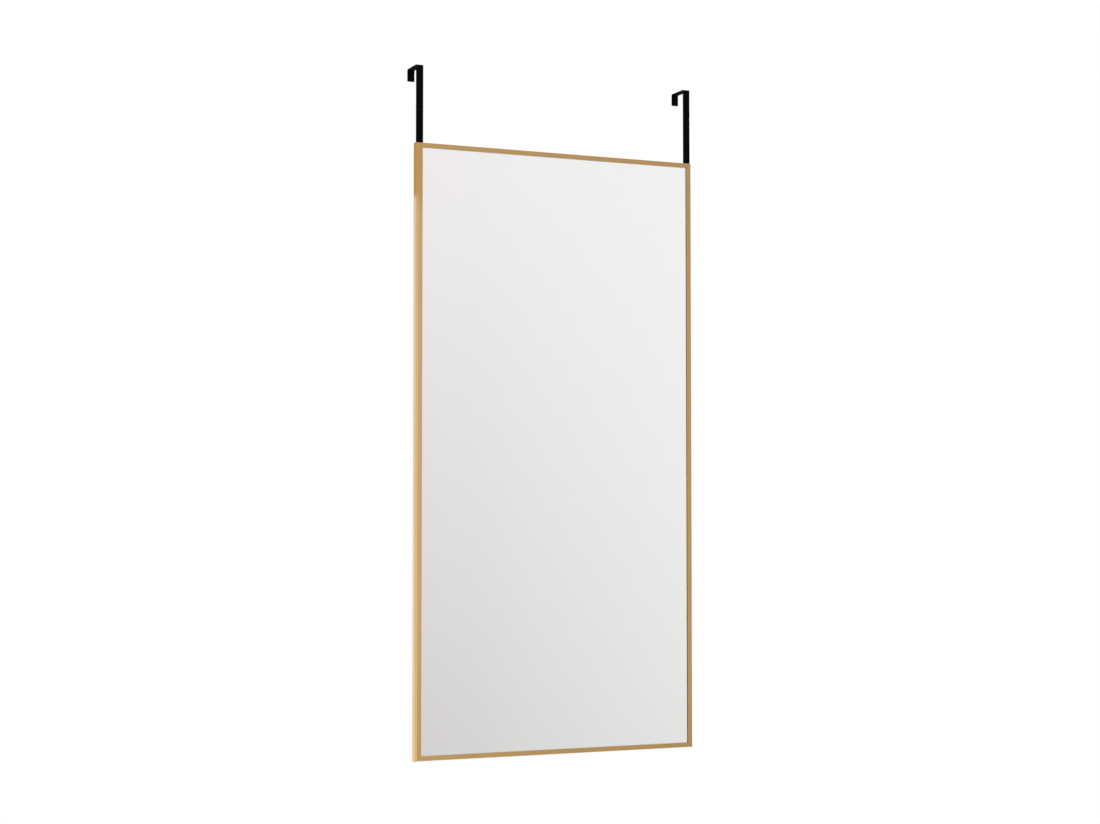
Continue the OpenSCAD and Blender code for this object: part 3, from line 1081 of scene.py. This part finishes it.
def add_floor(studio):
    """Pale floor that keeps the mirror's shadow in the middle and turns white further out."""
    s = Shader("floor")
    fine = s.noise(s.place, 0.05, 4.0)
    s.set(
        Base_Color=s.tone(colour_of(studio.floor), fine, 0.985, 1.0),
        Roughness=0.7,
        Specular_IOR_Level=0.2,
        Normal=s.bump(fine, 0.0002),
    )
    x, y, _ = s.axes()
    away = s.math("SQRT", s.math("ADD", s.math("MULTIPLY", x, x), s.math("MULTIPLY", y, y)))
    near = studio.shadow_radius / MM
    white = s.math("MULTIPLY", s.step(away, near * 0.45, near * 1.9), light_path(s))
    blend = s.node("ShaderNodeMixShader", {0: white, 1: s.surface.outputs[0]})
    s.put(blend.inputs[2], s.node("ShaderNodeEmission", {"Strength": 1.0}).outputs[0])
    s.put(s.out.inputs["Surface"], blend.outputs[0])
    s.material.cycles.emission_sampling = "NONE"
    add_stage("floor", disc("floor", studio.floor_radius, studio.floor_z), s.material)


def add_world(studio):
    """Even light for the object, and plain white for the camera, for metal and for glass."""
    world = bpy.data.worlds.new("studio")
    world.use_nodes = True
    tree = world.node_tree
    back = tree.nodes["Background"]
    back.inputs["Color"].default_value = (1, 1, 1, 1)
    path = tree.nodes.new("ShaderNodeLightPath")
    seen = path.outputs["Is Camera Ray"]
    for name in ("Is Glossy Ray", "Is Transmission Ray"):
        most = tree.nodes.new("ShaderNodeMath")
        most.operation = "MAXIMUM"
        tree.links.new(seen, most.inputs[0])
        tree.links.new(path.outputs[name], most.inputs[1])
        seen = most.outputs[0]
    strength = tree.nodes.new("ShaderNodeMapRange")
    strength.inputs["To Min"].default_value = studio.ambient
    tree.links.new(seen, strength.inputs["Value"])
    tree.links.new(strength.outputs[0], back.inputs["Strength"])
    bpy.context.scene.world = world


def add_key(studio):
    """Soft square lamp, turned to the middle of the mirror."""
    light = bpy.data.lights.new("key", "AREA")
    light.size = studio.key_size
    light.energy = studio.key_power
    lamp = bpy.data.objects.new("key", light)
    bpy.context.scene.collection.objects.link(lamp)
    lamp.location = studio.key_place
    middle = (CAD_BOX[0] + CAD_BOX[1]) / 2
    lamp.rotation_euler = (middle - Vector(studio.key_place)).to_track_quat("-Z", "Y").to_euler()


def add_camera(studio):
    """Camera at the photograph's angle."""
    data = bpy.data.cameras.new("camera")
    data.sensor_width = 36
    data.lens = studio.camera_lens
    data.shift_y = studio.camera_rise
    camera = bpy.data.objects.new("camera", data)
    bpy.context.scene.collection.objects.link(camera)
    camera.location = studio.camera_place
    camera.rotation_euler = (math.pi / 2 + studio.camera_tilt, 0, -studio.camera_turn)
    bpy.context.scene.camera = camera


class DOORMIRROR_OT_studio(bpy.types.Operator):
    """Set up the floor, the boards, the light and the camera"""

    bl_idname = "door_mirror.studio"
    bl_label = "Studio"

    def execute(self, context):
        studio = context.scene.door_mirror.studio
        add_floor(studio)
        add_backdrop(studio)
        add_side_board(studio)
        add_world(studio)
        add_key(studio)
        add_camera(studio)
        context.scene.view_settings.view_transform = "Standard"
        return {"FINISHED"}


# ---------------------------------------------------------------- panel and registration


STEPS = (
    DOORMIRROR_OT_bars,
    DOORMIRROR_OT_corners,
    DOORMIRROR_OT_mirror,
    DOORMIRROR_OT_board,
    DOORMIRROR_OT_hooks,
    DOORMIRROR_OT_felt,
    DOORMIRROR_OT_foam,
    DOORMIRROR_OT_rubber,
    DOORMIRROR_OT_studio,
)


class DOORMIRROR_PT_panel(bpy.types.Panel):
    """Lists the settings and the steps of the mirror"""

    bl_label = "Door mirror"
    bl_idname = "DOORMIRROR_PT_panel"
    bl_space_type = "VIEW_3D"
    bl_region_type = "UI"
    bl_category = "Door mirror"

    def draw(self, context):
        settings = context.scene.door_mirror
        for step in STEPS:
            self.layout.operator(step.bl_idname)
        for group in (settings.frame, settings.mirror, settings.strap, settings.back, settings.soft,
                      settings.studio):
            box = self.layout.box()
            for name in group.__annotations__:
                box.prop(group, name)


CLASSES = (FrameFinish, MirrorFinish, StrapFinish, BackFinish, SoftParts, Studio, DoorMirror,
           *STEPS, DOORMIRROR_PT_panel)


def register():
    """Registers the classes and puts the settings on the scene."""
    for item in CLASSES:
        bpy.utils.register_class(item)
    bpy.types.Scene.door_mirror = PointerProperty(type=DoorMirror)


def unregister():
    """Takes the settings and the classes away again."""
    del bpy.types.Scene.door_mirror
    for item in reversed(CLASSES):
        bpy.utils.unregister_class(item)


def main():
    """Registers the add-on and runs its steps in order."""
    register()
    bpy.ops.door_mirror.bars()
    bpy.ops.door_mirror.corners()
    bpy.ops.door_mirror.mirror()
    bpy.ops.door_mirror.board()
    bpy.ops.door_mirror.hooks()
    bpy.ops.door_mirror.felt()
    bpy.ops.door_mirror.foam()
    bpy.ops.door_mirror.rubber()
    bpy.ops.door_mirror.studio()


if __name__ == "__main__":
    main()
